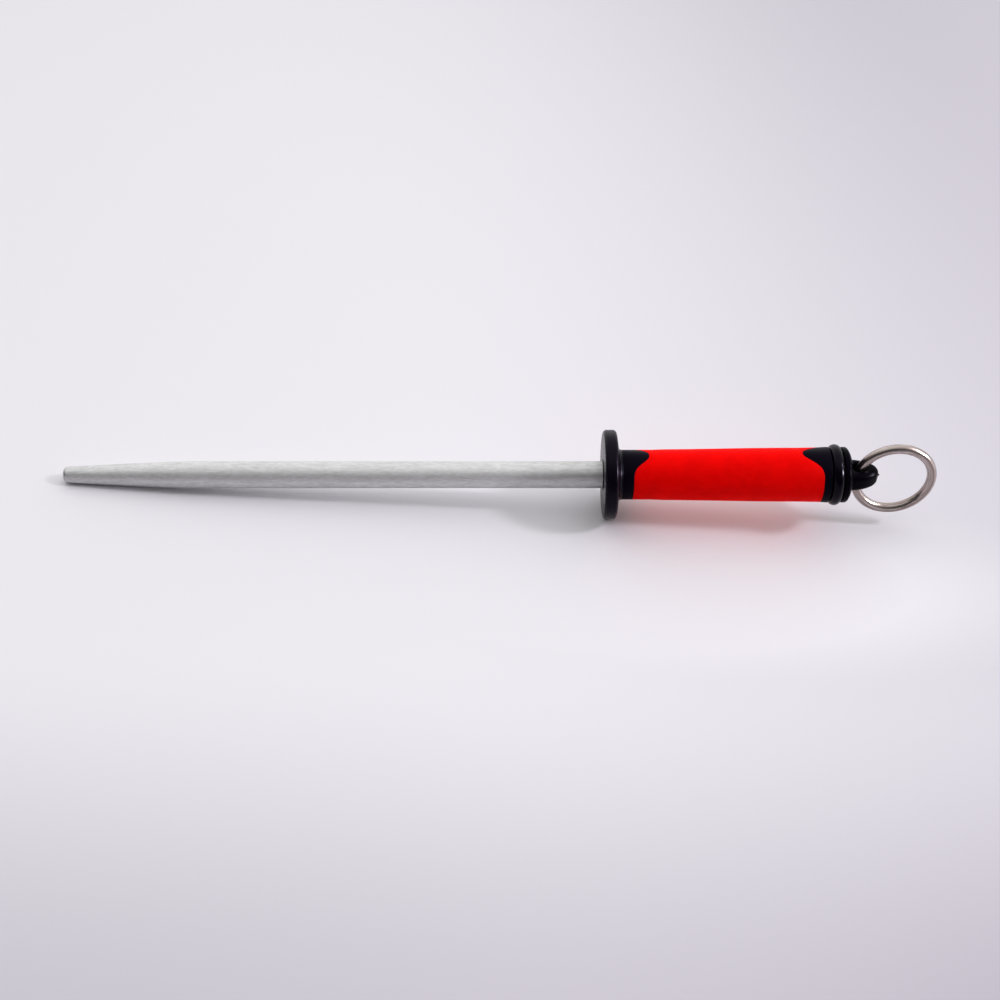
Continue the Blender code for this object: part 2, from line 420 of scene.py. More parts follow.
class Signal:
    """A shader value that can be written into sums: each operator adds a Math node."""

    def __init__(self, recipe: "Recipe", socket: bpy.types.NodeSocket) -> None:
        """Wrap an output socket.

        Args:
            recipe: The material under work.
            socket: The socket.
        """
        self.recipe = recipe
        self.socket = socket

    def _maths(self, operation: str, *values: Value) -> "Signal":
        """Add a Math node."""
        inputs = dict(enumerate(values))
        return self.recipe.add("ShaderNodeMath", {"operation": operation}, inputs)

    def __add__(self, other: Value) -> "Signal":
        """Sum."""
        return self._maths("ADD", self, other)

    __radd__ = __add__

    def __sub__(self, other: Value) -> "Signal":
        """Difference."""
        return self._maths("SUBTRACT", self, other)

    def __rsub__(self, other: Value) -> "Signal":
        """Difference from a number."""
        return self._maths("SUBTRACT", other, self)

    def __mul__(self, other: Value) -> "Signal":
        """Product."""
        return self._maths("MULTIPLY", self, other)

    __rmul__ = __mul__

    def __truediv__(self, other: Value) -> "Signal":
        """Quotient."""
        return self._maths("DIVIDE", self, other)

    def __rtruediv__(self, other: Value) -> "Signal":
        """Quotient of a number."""
        return self._maths("DIVIDE", other, self)

    def at_most(self, limit: float) -> "Signal":
        """This, or the limit where it is greater."""
        return self._maths("MINIMUM", self, limit)

    def root(self) -> "Signal":
        """Square root."""
        return self._maths("SQRT", self)

    def ramp(self, low: float, high: float) -> "Signal":
        """Rise smoothly from 0 to 1.

        Args:
            low: Where the rise starts; it may be the greater.
            high: Where it ends.

        Returns:
            The share.
        """
        settings = {"interpolation_type": "SMOOTHSTEP", "clamp": True}
        return self.recipe.add("ShaderNodeMapRange", settings,
                               {"Value": self, "From Min": low, "From Max": high})


class Recipe:
    """A material under work."""

    def __init__(self, tree: bpy.types.NodeTree, shader: bpy.types.ShaderNode,
                 tool: ToolFrame) -> None:
        """Work on a node tree.

        Args:
            tree: The tree.
            shader: Its shader.
            tool: The tool's frame, for patterns that follow the tool.
        """
        self.tree = tree
        self.shader = shader
        self.tool = tool

    @classmethod
    def material(cls, name: str, tool: ToolFrame) -> "Recipe":
        """Start a Principled material.

        Args:
            name: Its name.
            tool: The tool's frame.

        Returns:
            The recipe, not yet fed.
        """
        made = bpy.data.materials.new(name)
        made.use_nodes = True
        return cls(made.node_tree, made.node_tree.nodes["Principled BSDF"], tool)

    def feed(self, socket: bpy.types.NodeSocket, value: Any) -> None:
        """Link a signal to a socket, or set the socket.

        Args:
            socket: The socket.
            value: A signal, a number or a colour.
        """
        if isinstance(value, Signal):
            self.tree.links.new(value.socket, socket)
        elif isinstance(value, tuple) and socket.type == "RGBA":
            socket.default_value = (*value, 1.0)
        else:
            socket.default_value = value

    def add(self, kind: str, settings: dict[str, Any], inputs: dict[Any, Any],
            output: Union[int, str] = 0) -> Signal:
        """Add a node.

        Args:
            kind: Blender's name for the node's type.
            settings: Its settings, set before its sockets.
            inputs: Socket names or numbers, each with a value or a signal.
            output: The output that is wanted.

        Returns:
            That output.
        """
        node = self.tree.nodes.new(kind)
        for name, value in settings.items():
            setattr(node, name, value)
        for name, value in inputs.items():
            self.feed(node.inputs[name], value)
        return Signal(self, node.outputs[output])

    def place(self) -> Signal:
        """Measure the place on the tool.

        Returns:
            The place in the tool's axes, in millimetres.
        """
        coords = self.add("ShaderNodeTexCoord", {}, {}, "Object")
        turned = self.add("ShaderNodeMapping", {"vector_type": "TEXTURE"},
                          {"Vector": coords, "Location": tuple(self.tool.origin),
                           "Rotation": (0.0, self.tool.turn, 0.0)})
        return self.stretch(turned, (1.0 / MM, 1.0 / MM, 1.0 / MM))

    def stretch(self, vector: Signal, factors: Triple) -> Signal:
        """Multiply a vector by three factors."""
        return self.add("ShaderNodeVectorMath", {"operation": "MULTIPLY"},
                        {0: vector, 1: factors})

    def split(self, vector: Signal) -> tuple[Signal, Signal, Signal]:
        """Split a vector.

        Args:
            vector: The vector.

        Returns:
            Its three parts.
        """
        first = self.add("ShaderNodeSeparateXYZ", {}, {0: vector})
        outputs = first.socket.node.outputs
        return first, Signal(self, outputs[1]), Signal(self, outputs[2])

    def noise(self, vector: Signal, scale: float, detail: float = 2.0, rough: float = 0.5,
              warp: float = 0.0) -> Signal:
        """Add a noise pattern.

        Args:
            vector: Where it is read.
            scale: Cycles per unit of the vector.
            detail: Number of finer layers.
            rough: Share of each finer layer.
            warp: How far it is distorted.

        Returns:
            The noise, from 0 to 1.
        """
        return self.add("ShaderNodeTexNoise", {},
                        {"Vector": vector, "Scale": scale, "Detail": detail,
                         "Roughness": rough, "Distortion": warp})

    def cells(self, vector: Signal, scale: float) -> Signal:
        """Distance to the nearest of a field of scattered points."""
        return self.add("ShaderNodeTexVoronoi", {}, {"Vector": vector, "Scale": scale})

    def mix(self, share: Value, first: Any, second: Any) -> Signal:
        """Mix two colours; the node's colour sockets go by number."""
        inputs = {0: share, 6: first, 7: second}
        return self.add("ShaderNodeMix", {"data_type": "RGBA"}, inputs, 2)

    def bump(self, height: Signal, depth: float, strength: float = 1.0,
             under: Optional[Signal] = None) -> Signal:
        """Turn a height into a normal.

        Args:
            height: The height, from 0 to 1.
            depth: What it stands for, in metres.
            strength: How far the normal turns.
            under: A coarser normal to build on.

        Returns:
            The normal.
        """
        inputs = {"Height": height, "Distance": depth, "Strength": strength}
        if under is not None:
            inputs["Normal"] = under
        return self.add("ShaderNodeBump", {}, inputs)

    def finish(self, **values: Any) -> None:
        """Feed the shader; each name is a socket's, with _ for a space."""
        for name, value in values.items():
            self.feed(self.shader.inputs[name.replace("_", " ")], value)


@dataclass(frozen=True)
class Finish:
    """What a surface is made of."""

    name: str
    tool: ToolFrame

    def material(self) -> bpy.types.Material:
        """Mix the material and return it."""
        self.mix(Recipe.material(self.name, self.tool))
        return bpy.data.materials[self.name]

    def mix(self, recipe: Recipe) -> None:
        """Mix the material; each finish does this its own way."""
        raise NotImplementedError


@dataclass(frozen=True)
class GroundSteel(Finish):
    """Chromed bar steel, ground lengthwise: uneven fine streaks and a few dark pits."""

    light: Colour = (0.695, 0.690, 0.708)
    dark: Colour = (0.460, 0.450, 0.453)
    pit: Colour = (0.08, 0.075, 0.07)
    polished: Colour = (0.40, 0.39, 0.40)
    metallic: float = 0.80
    polish_line: float = -297.9
    polish_blend: float = 0.7
    polish_gloss: float = 0.62
    fine_streaks: Triple = (3.6, 3.6, 0.30)
    grain_streaks: Triple = (1.7, 1.7, 0.22)
    broad_streaks: Triple = (0.5, 0.5, 0.06)
    streak_shares: Triple = (0.35, 0.45, 0.20)
    pit_shape: Triple = (1.0, 1.0, 0.55)
    pit_density: float = 0.16
    pit_size: Pair = (0.075, 0.03)
    roughness: float = 0.56
    scratch_depth: float = 0.05 * MM

    def mix(self, recipe: Recipe) -> None:
        """Mix the material: streaks along the bar, pits here and there, a polished tip.

        Args:
            recipe: The material under work.
        """
        spot = recipe.place()
        fine = recipe.noise(recipe.stretch(spot, self.fine_streaks), 1.0, 3.0, 0.6, 0.2)
        grain = recipe.noise(recipe.stretch(spot, self.grain_streaks), 1.0, 3.0, 0.65, 0.25)
        broad = recipe.noise(recipe.stretch(spot, self.broad_streaks), 1.0, 2.0, 0.5, 0.4)
        fine_share, grain_share, broad_share = self.streak_shares
        streak = (fine.ramp(0.34, 0.68) * fine_share + grain.ramp(0.34, 0.66) * grain_share
                  + broad.ramp(0.34, 0.66) * broad_share)
        grey = recipe.mix(streak, self.dark, self.light)
        field = recipe.cells(recipe.stretch(spot, self.pit_shape), self.pit_density)
        rare = recipe.noise(spot, 0.11, 1.0).ramp(0.56, 0.6)
        pitted = field.ramp(*self.pit_size) * rare
        polish = recipe.split(spot)[2].ramp(self.polish_line, self.polish_line - self.polish_blend)
        colour = recipe.mix(pitted * 0.8, grey, self.pit)
        colour = recipe.mix(polish, colour, self.polished)
        uneven = self.roughness - streak * 0.10 + pitted * 0.2
        rough = uneven * (1.0 - polish * self.polish_gloss)
        height = (fine * 0.45 + grain * 0.55 - pitted * 0.8) * (1.0 - polish)
        normal = recipe.bump(height, self.scratch_depth, 0.5)
        metallic = self.metallic + polish * (1.0 - self.metallic)
        recipe.finish(Base_Color=colour, Metallic=metallic, Roughness=rough, Normal=normal)


@dataclass(frozen=True)
class MouldedBlack(Finish):
    """Black handle plastic with a fine spark-eroded texture and a few scuffs."""

    base: Colour = (0.0034, 0.0023, 0.0060)
    worn: Colour = (0.010, 0.0085, 0.014)
    roughness: float = 0.38
    grain: float = 0.3
    grain_size: float = 0.45
    gloss: float = 0.022
    tint: Colour = (0.80, 0.70, 1.0)
    grain_depth: float = 0.08 * MM
    patch_size: float = 0.14
    scuff_shape: Triple = (0.5, 2.6, 0.9)
    unevenness: float = 0.12

    def mix(self, recipe: Recipe) -> None:
        """Mix the material: an even grain, rubbed rough in patches.

        Args:
            recipe: The material under work.
        """
        spot = recipe.place()
        grain = recipe.noise(spot, 1.0 / self.grain_size, 2.0, 0.55)
        patch = recipe.noise(spot, self.patch_size, 2.0, 0.6)
        scuff = recipe.noise(recipe.stretch(spot, self.scuff_shape), 1.0, 4.0, 0.7, 1.0)
        rubbed = scuff.ramp(0.66, 0.78) * patch.ramp(0.45, 0.65)
        colour = recipe.mix(rubbed, self.base, self.worn)
        rough = self.roughness + (patch - 0.5) * self.unevenness + rubbed * self.unevenness
        normal = recipe.bump(grain, self.grain_depth, self.grain)
        recipe.finish(Base_Color=colour, Roughness=rough, Normal=normal,
                      Specular_IOR_Level=self.gloss, Specular_Tint=self.tint)


@dataclass(frozen=True)
class SoftRed(Finish):
    """Bright red soft-touch grip: smooth, satin, a little uneven, with small painted orange
    highlights.
    """

    base: Colour = (0.95, 0.0008, 0.0004)
    deep: Colour = (0.86, 0.0004, 0.0002)
    # painted highlight: colour of the small orange glints
    painted_glint: Colour = (0.95, 0.10, 0.02)
    cloud_size: float = 0.10
    grain_size: float = 2.4
    painted_glint_shape: Triple = (0.9, 0.9, 0.5)
    roughness: float = 0.50
    gloss: float = 0.015
    grain_depth: float = 0.03 * MM
    cloud_depth: float = 0.25 * MM

    def mix(self, recipe: Recipe) -> None:
        """Mix the material: soft clouds of a deeper red, and small painted orange highlights
        scattered over the lighter clouds.

        Args:
            recipe: The material under work.
        """
        spot = recipe.place()
        cloud = recipe.noise(spot, self.cloud_size, 3.0, 0.55)
        grain = recipe.noise(spot, self.grain_size, 2.0, 0.5)
        glint_noise = recipe.noise(recipe.stretch(spot, self.painted_glint_shape), 1.0, 3.0, 0.7)
        colour = recipe.mix(cloud.ramp(0.35, 0.7), self.deep, self.base)
        # painted highlight: small orange glints on the lighter clouds, a little smoother there
        painted_glints = glint_noise.ramp(0.70, 0.80) * cloud.ramp(0.5, 0.62)
        colour = recipe.mix(painted_glints * 0.35, colour, self.painted_glint)
        rough = self.roughness + (cloud - 0.5) * 0.12 - painted_glints * 0.1
        dimple = recipe.bump(grain, self.grain_depth, 0.35)
        normal = recipe.bump(cloud, self.cloud_depth, 0.3, dimple)
        recipe.finish(Base_Color=colour, Roughness=rough, Normal=normal,
                      Specular_IOR_Level=self.gloss)


@dataclass(frozen=True)
class DrawnWire(Finish):
    """Nickelled ring wire with dark bands and lines along it, partly draw lines and partly painted
    reflection, and fine handling scratches.
    """

    centre: Vector = Vector()
    radius: float = 21.0
    bright: Colour = (0.50, 0.435, 0.42)
    # partly painted reflection: colours of the dull bands and dark lines along the wire
    dull: Colour = (0.235, 0.180, 0.165)
    line: Colour = (0.05, 0.036, 0.032)
    drift: Triple = (0.035, 0.0, 0.035)
    scratch_shape: Triple = (1.0, 0.25, 1.0)
    roughness: float = 0.19
    line_depth: float = 0.03 * MM

    def mix(self, recipe: Recipe) -> None:
        """Mix the material: the pattern runs round the ring and hardly changes along it.

        Args:
            recipe: The material under work.
        """
        spot = recipe.place()
        middle = tuple(-part / MM for part in self.centre)
        off = recipe.add("ShaderNodeVectorMath", {"operation": "ADD"}, {0: spot, 1: middle})
        down, across, along = recipe.split(off)
        outward = (down * down + along * along).root() - self.radius
        lane = recipe.add("ShaderNodeCombineXYZ", {}, {"X": outward, "Y": across})
        drift = recipe.stretch(off, self.drift)
        wire = recipe.add("ShaderNodeVectorMath", {"operation": "ADD"}, {0: lane, 1: drift})
        draw_and_reflection_bands = recipe.noise(wire, 1.1, 3.0, 0.6)
        fine = recipe.noise(wire, 4.0, 2.0, 0.6)
        scratch = recipe.noise(recipe.stretch(off, self.scratch_shape), 1.6, 3.0, 0.6, 1.0)
        marks = scratch.ramp(0.66, 0.74)
        # partly painted reflection: the dull bands and dark lines stand for draw lines and for
        # reflected dark surroundings
        colour = recipe.mix(draw_and_reflection_bands.ramp(0.38, 0.64), self.bright, self.dull)
        colour = recipe.mix(fine.ramp(0.54, 0.70) * 0.8, colour, self.line)
        rough = self.roughness + draw_and_reflection_bands * 0.10 + fine * 0.06 + marks * 0.10
        normal = recipe.bump(fine * 0.7 + marks * 0.3, self.line_depth, 0.6)
        recipe.finish(Base_Color=colour, Metallic=1.0, Roughness=rough, Normal=normal)


@dataclass
class SharpeningBar:
    """Steel bar with lengthwise ribs, a long taper, a rounded tip, and its tang."""

    tool: ToolFrame
    ribs: int = 96
    rib_depth: float = 0.05 * MM
    radius: float = 7.5 * MM
    tip_radius: float = 4.5 * MM
    tip_round: float = 2.6 * MM
    taper_length: float = 64 * MM
    ring_spacing: float = 5 * MM
    tang_radius: float = 5 * MM
    bar_end: float = 13 * MM
    tip_flat: float = 0.4 * MM
    rib_start: float = 0.6 * MM
    rib_end: float = -2.0 * MM
    taper_bend: float = 0.06
    wander: float = math.radians(0.22)
    wander_seed: int = 7
    sharp: float = 60.0

    def bar_radius(self, height: float, tip: float) -> float:
        """Work out the bar's radius: parallel, with an eased start to the taper.

        Args:
            height: Where it is wanted.
            tip: The tip's height.

        Returns:
            The radius.
        """
        share = (height - tip) / self.taper_length
        if share >= 1.0:
            return self.radius
        straight = self.tip_radius + (self.radius - self.tip_radius) * share
        soft = math.exp(-((1.0 - share) / self.taper_bend)) * self.taper_bend
        return straight - (self.radius - self.tip_radius) * soft

    def build(self) -> bpy.types.Object:
        """Shape the bar from its tip to the end of its tang.

        Returns:
            The bar.
        """
        tip, tang_end = self.tool.span("sharpening_rod")
        inner = self.tip_radius - self.tip_round
        dome = arc(inner, tip + self.tip_round, self.tip_round, -90, 0)
        bench = Bench("steel_bar")
        bench.turned([(self.tip_flat, tip)] + dome, 4 * self.ribs)
        first = tip + self.tip_round + self.rib_start
        here = (self.bar_radius(first, tip), first)
        bench.draw_up([dome[-1], here])
        self.cut_ribs(bench, first)
        drift = random.Random(self.wander_seed)
        count = round((self.rib_end - first) / self.ring_spacing)
        for index in range(1, count + 1):
            height = first + (self.rib_end - first) * index / count
            there = (self.bar_radius(height, tip), height)
            bench.draw_up([here, there])
            bpy.ops.transform.rotate(value=drift.uniform(-self.wander, self.wander),
                                     orient_axis="Z", center_override=CENTRE)
            here = there
        bench.draw_up([here, (self.radius, self.bar_end), (self.tang_radius, self.bar_end),
                       (self.tang_radius, tang_end)])
        piece = place(bench.close(), self.tool.matrix, self.sharp)
        return dress(piece, GroundSteel("ground_steel", self.tool), Body.TOOL, Slot.ROD_STEEL,
                     "sharpening_rod")

    def cut_ribs(self, bench: Bench, height: float) -> None:
        """Sink every fourth column of the ring in hand, and its flanks by half as much.

        Args:
            bench: The bar under work.
            height: The ring's height.
        """
        step = math.tau / (4 * self.ribs)
        ring = bench.indices(lambda co: abs(co.z - height) < 10 * MERGE)
        mesh = bmesh.from_edit_mesh(bench.piece.data)
        mesh.verts.ensure_lookup_table()
        columns = {index: round(math.atan2(mesh.verts[index].co.y, mesh.verts[index].co.x) / step)
                   for index in ring}
        for share, remainders in ((1.0, (2,)), (0.5, (1, 3))):
            bench.select_indices([index for index in ring if columns[index] % 4 in remainders])
            bench.swell(1.0 - share * self.rib_depth / self.radius)
        bench.select_indices(ring)


@dataclass
class FingerGuard:
    """Disc guard: flat face with a low seat round the bar, coned back, filleted hub."""

    tool: ToolFrame
    sides: int = 192
    rim_width: float = 7.4 * MM
    corner: float = 2.0 * MM
    root: float = 8.5 * MM
    fillet: float = 2.0 * MM
    hub: float = 13.85 * MM
    bore: float = 7.55 * MM
    seat_radius: float = 8.6 * MM
    seat_height: float = 0.45 * MM
    edge: float = 0.12 * MM
    lip: float = 0.25 * MM
    fillet_start: float = 184
    fillet_end: float = 262

    def build(self) -> bpy.types.Object:
        """Turn the guard.

        Returns:
            The guard.
        """
        front, back = self.tool.span("finger_guard")
        inner = self.tool.girth("finger_guard") - self.corner
        edge, lip = self.edge, self.lip
        seat = front - self.seat_height
        profile = [(self.bore, back)]
        profile += arc(self.hub - edge, back - edge, edge, 90, 0, 3)
        profile += arc(self.hub + self.fillet, back, self.fillet, self.fillet_start,
                       self.fillet_end, 10)
        profile += arc(inner, front + self.rim_width - self.corner, self.corner, 90, 0)
        profile += arc(inner, front + self.corner, self.corner, 0, -90)
        profile += [(self.seat_radius + lip, front)]
        profile += arc(self.seat_radius - lip, seat + lip, lip, 0, -90, 3)
        profile += [(self.bore, seat)]
        bench = Bench("guard_disc")
        bench.turned_tube(profile, self.sides)
        piece = place(bench.close(), self.tool.matrix)
        finish = MouldedBlack("guard_black", self.tool, roughness=0.27, grain=0.40, grain_size=0.6,
                              gloss=0.075, base=(0.0030, 0.0019, 0.0052))
        return dress(piece, finish, Body.TOOL, Slot.BLACK_PLASTIC, "finger_guard")


@dataclass
class Handle:
    """Black core with a tongue at each end, and the red grip moulded over it."""

    tool: ToolFrame
    sides: int = 240
    collar: float = 13.85 * MM
    barrel: float = 10.5 * MM
    band: float = 15.5 * MM
    front_line: float = 16.4 * MM
    tail_line: float = 120.6 * MM
    tail_line_radius: float = 15.2 * MM
    seam: float = 0.07 * MM
    seam_round: float = 0.22 * MM
    front_tongue: float = 8.6 * MM
    front_width: float = math.radians(29.5)
    front_fullness: float = 2.5
    tail_tongue: float = 11.2 * MM
    tail_width: float = math.radians(27.5)
    tail_fullness: float = 2.2
    core_bore: float = 7.6 * MM
    tail_bore: float = 6.4 * MM
    edge: float = 0.12 * MM
    guard_overlap: float = 0.2 * MM
    band_round: float = 0.5 * MM
    grip_gap: float = 0.1 * MM
    grip_ends: Pair = (27 * MM, 107 * MM)
    grip_rings: int = 32
    grip_swells: tuple[Triple, ...] = ((0.3 * MM, 24 * MM, 12 * MM), (0.85 * MM, 30 * MM, 72 * MM),
                                       (0.2 * MM, 113.5 * MM, 7 * MM))
    waist_depth: float = 0.1 * MM
    waist_place: float = 113 * MM
    waist_length: float = 4 * MM

    def front_shift(self, off_top: float) -> float:
        """Reach of the front tongue at an angle off the top."""
        return self.front_tongue * math.exp(-((off_top / self.front_width) ** self.front_fullness))

    def tail_shift(self, off_top: float) -> float:
        """Reach of the tail tongue, towards the front, at an angle off the top."""
        return -self.tail_tongue * math.exp(-((off_top / self.tail_width) ** self.tail_fullness))

    def grip_radius(self, height: float) -> float:
        """Work out the grip's radius: it rises, swells slowly, is waisted, and flares.

        Args:
            height: Where it is wanted.

        Returns:
            The radius.
        """
        swell = sum(size * ease((height - foot) / length)
                    for size, foot, length in self.grip_swells)
        off_waist = (height - self.waist_place) / self.waist_length
        return self.collar + swell - self.waist_depth * math.exp(-(off_waist ** 2))

    def core(self) -> bpy.types.Object:
        """Shape the black core.

        Returns:
            The core.
        """
        front, end = self.tool.span("handle_core")
        edge, corner = self.edge, self.band_round
        round_ = self.seam_round
        front_foot = self.front_line - self.seam / 2
        tail_top = self.tail_line + self.seam / 2
        profile = [(self.core_bore, front)]
        profile += arc(self.collar - edge, front + edge - self.guard_overlap, edge, -90, 0, 3)
        profile += arc(self.collar - round_, front_foot - round_, round_, 0, 90, 4)
        profile += [(self.barrel, front_foot), (self.barrel, tail_top)]
        profile += arc(self.tail_line_radius - round_, tail_top + round_, round_, -90, 0, 4)
        profile += arc(self.band - corner, end - corner, corner, 0, 90, 5)
        profile += [(self.tail_bore, end)]
        bench = Bench("core_body")
        bench.turned(profile, self.sides)
        bench.slide_columns(front_foot - round_, front_foot, self.front_shift)
        bench.slide_columns(tail_top, tail_top + round_, self.tail_shift)
        piece = place(bench.close(), self.tool.matrix)
        return dress(piece, MouldedBlack("core_black", self.tool), Body.TOOL, Slot.BLACK_PLASTIC,
                     "handle_core")

    def grip(self) -> bpy.types.Object:
        """Shape the red grip.

        Returns:
            The grip.
        """
        round_ = self.seam_round
        bore = self.barrel + self.grip_gap
        foot = self.front_line + self.seam / 2
        top = self.tail_line - self.seam / 2
        low, high = self.grip_ends
        profile = [(bore, foot)]
        profile += arc(self.collar - round_, foot + round_, round_, -90, 0, 4)
        for index in range(self.grip_rings + 1):
            height = low + (high - low) * index / self.grip_rings
            profile.append((self.grip_radius(height), height))
        profile += arc(self.tail_line_radius - round_, top - round_, round_, 0, 90, 4)
        profile += [(bore, top)]
        bench = Bench("grip_body")
        bench.turned_tube(profile, self.sides)
        bench.slide_columns(foot, foot + round_, self.front_shift)
        bench.slide_columns(top - round_, top, self.tail_shift)
        piece = place(bench.close(), self.tool.matrix)
        return dress(piece, SoftRed("soft_red", self.tool), Body.TOOL, Slot.RED_GRIP,
                     "grip_sleeve")


@dataclass
class Butt:
    """Bead ring, end cap with its bored tab, and the moulding gate left at the tab's end."""

    tool: ToolFrame
    sides: int = 192
    cap_radius: float = 15.5 * MM
    cap_back: float = 137.15 * MM
    dome_depth: float = 2.9 * MM
    dome_width: float = 7.0 * MM
    dome_draft: float = 0.35 * MM
    tab_width: float = 18.6 * MM
    tab_thickness: float = 11.0 * MM
    tab_drop: float = 0.2 * MM
    tab_centre: float = 136.1 * MM
    tab_round: float = 3.6 * MM
    tab_line: float = 0.06 * MM
    hole_place: float = 141.9 * MM
    hole_radius: float = 4.15 * MM
    hole_round: float = 0.45 * MM
    hole_sides: int = 64
    bead_bore: float = 6.4 * MM
    bead_gap: float = 0.12 * MM
    spigot: float = 5.9 * MM
    nose: float = 0.6 * MM
    dome_steps: int = 18
    back_flat: float = 3.0 * MM
    tab_sides: int = 128
    tab_root: float = -2.0 * MM
    gate_shape: tuple[Pair, ...] = ((0.8 * MM, -1.0 * MM), (0.7 * MM, 0.3 * MM),
                                    (0.45 * MM, 0.8 * MM), (0.3 * MM, 0.9 * MM))
    gate_lean: Triple = (-0.25 * MM, 0.1 * MM, 0.0)

    def bead(self) -> bpy.types.Object:
        """Turn the bead ring.

        Returns:
            The bead.
        """
        low, high = self.tool.span("butt_bead")
        outer = self.tool.girth("butt_bead")
        half = (high - low) / 2
        profile = [(self.bead_bore, high)]
        profile += arc(outer - half, low + half, half, 90, -90, 24)
        profile += [(self.bead_bore, low)]
        bench = Bench("bead_ring")
        bench.turned_tube(profile, self.sides)
        piece = place(bench.close(), self.tool.matrix)
        finish = MouldedBlack("bead_black", self.tool, roughness=0.21, grain=0.08, gloss=0.090,
                              base=(0.0012, 0.0007, 0.0024))
        return dress(piece, finish, Body.TOOL, Slot.BLACK_PLASTIC, "butt_bead")

    def disc(self) -> bpy.types.Object:
        """Turn the cap's disc and spigot.

        Returns:
            The disc, with a domed back.
        """
        start = self.tool.span("butt_cap")[0]
        front = self.tool.span("butt_bead")[1] + self.bead_gap
        nose = self.nose
        profile = [(self.spigot, start), (self.spigot, front)]
        profile += arc(self.cap_radius - nose, front + nose, nose, -90, 0, 5)
        low = self.cap_back - self.dome_depth
        for index in range(self.dome_steps + 1):
            turn = math.pi / 2 * index / self.dome_steps
            radius = self.cap_radius - self.dome_width * (1.0 - math.cos(turn))
            radius -= self.dome_draft * ease(math.sin(turn) * 1.6)
            profile.append((radius, low + self.dome_depth * math.sin(turn)))
        profile += [(self.back_flat, self.cap_back)]
        bench = Bench("end_cap")
        bench.turned(profile, self.sides)
        return bench.close()

    def tab(self) -> bpy.types.Object:
        """Shape the flat tab: half an ellipse in outline, with a moulding line round its edge.

        Returns:
            The tab, in its place on the cap.
        """
        bench = Bench("tab")
        bench.circle(1.0, 0.0, self.tab_sides, Fill.FACE)
        reach = self.tool.span("butt_cap")[1] - self.tab_centre
        bpy.ops.transform.resize(value=(self.tab_width / 2, reach, 1.0))
        bpy.ops.mesh.bisect(plane_co=(0.0, self.tab_root, 0.0), plane_no=(0.0, -1.0, 0.0),
                            clear_outer=True)
        bpy.ops.mesh.select_all(action="SELECT")
        half = self.tab_thickness / 2
        bpy.ops.transform.translate(value=(0.0, 0.0, -half))
        line = self.tab_line
        for rise in (half - line, line, line, half - line):
            bpy.ops.mesh.extrude_region_move(TRANSFORM_OT_translate={"value": (0.0, 0.0, rise)})
        bench.select_edges(lambda a, b: abs(abs(a.z) - half) < MERGE and abs(a.z - b.z) < MERGE
                           and max(a.y, b.y) > self.tab_root + MERGE)
        bpy.ops.mesh.bevel(offset=self.tab_round, segments=10)
        bench.select(lambda co: abs(co.z) < MERGE)
        grow = 1.0 + 2 * line / self.tab_width
        bench.swell(grow)
        piece = bench.close()
        piece.matrix_world = (Matrix.Translation((self.tab_drop, 0.0, self.tab_centre))
                              @ Matrix.Rotation(math.pi / 2, 4, "Z")
                              @ Matrix.Rotation(math.pi / 2, 4, "X"))
        return piece

    def gate(self) -> bpy.types.Object:
        """Shape the stub where the moulding gate was snipped off.

        Returns:
            The stub, its end leaning a little.
        """
        end = self.tool.span("butt_cap")[1]
        bench = Bench("gate")
        bench.turned([(radius, end + rise) for radius, rise in self.gate_shape], 12)
        bpy.ops.transform.translate(value=self.gate_lean)
        return bench.close()

    def drill(self) -> bpy.types.Object:
        """Shape the drill for the tab's hole.

        Returns:
            The drill, in its place across the tab.
        """
        reach = self.tab_thickness
        bench = Bench("drill")
        bench.turned([(self.hole_radius, -reach), (self.hole_radius, reach)], self.hole_sides)
        piece = bench.close()
        piece.matrix_world = (Matrix.Translation((0.0, 0.0, self.hole_place))
                              @ Matrix.Rotation(math.pi / 2, 4, "Y"))
        return piece

    def cap(self) -> bpy.types.Object:
        """Join the cap, bore its tab and round the hole's rims.

        Returns:
            The cap.
        """
        disc = self.disc()
        for other, operation in ((self.tab(), Operation.JOIN), (self.gate(), Operation.JOIN),
                                 (self.drill(), Operation.CUT)):
            boolean(disc, other, operation)
        bpy.ops.object.mode_set(mode="EDIT")
        bench = Bench("end_cap")
        half = self.tab_thickness / 2

        def on_rim(point: Vector) -> bool:
            """Tell the hole's rims from the rest of the tab.

            Args:
                point: A vertex's place.

            Returns:
                True on the rims.
            """
            off = math.hypot(point.y, point.z - self.hole_place)
            level = abs(abs(point.x - self.tab_drop) - half) < 5 * MERGE
            return level and abs(off - self.hole_radius) < 0.03 * MM

        facet = math.tau * self.hole_radius / self.hole_sides
        rims = bench.select_edges(lambda a, b: on_rim(a) and on_rim(b)
                                  and abs(a.x - b.x) < MERGE and (a - b).length < 2 * facet)
        bpy.ops.mesh.bevel(offset=self.hole_round, segments=4)
        bpy.ops.mesh.select_mode(type="FACE")
        bpy.ops.mesh.select_all(action="DESELECT")
        bpy.ops.mesh.select_face_by_sides(number=4, type="GREATER")
        bpy.ops.mesh.quads_convert_to_tris(quad_method="BEAUTY", ngon_method="BEAUTY")
        LOG.info("tab hole: %d rim edges rounded", rims)
        piece = place(bench.close(), self.tool.matrix)
        finish = MouldedBlack("cap_black", self.tool, roughness=0.28, grain=0.10, gloss=0.022,
                              base=(0.0016, 0.0011, 0.0028))
        return dress(piece, finish, Body.TOOL, Slot.CAP_PLASTIC, "butt_cap")


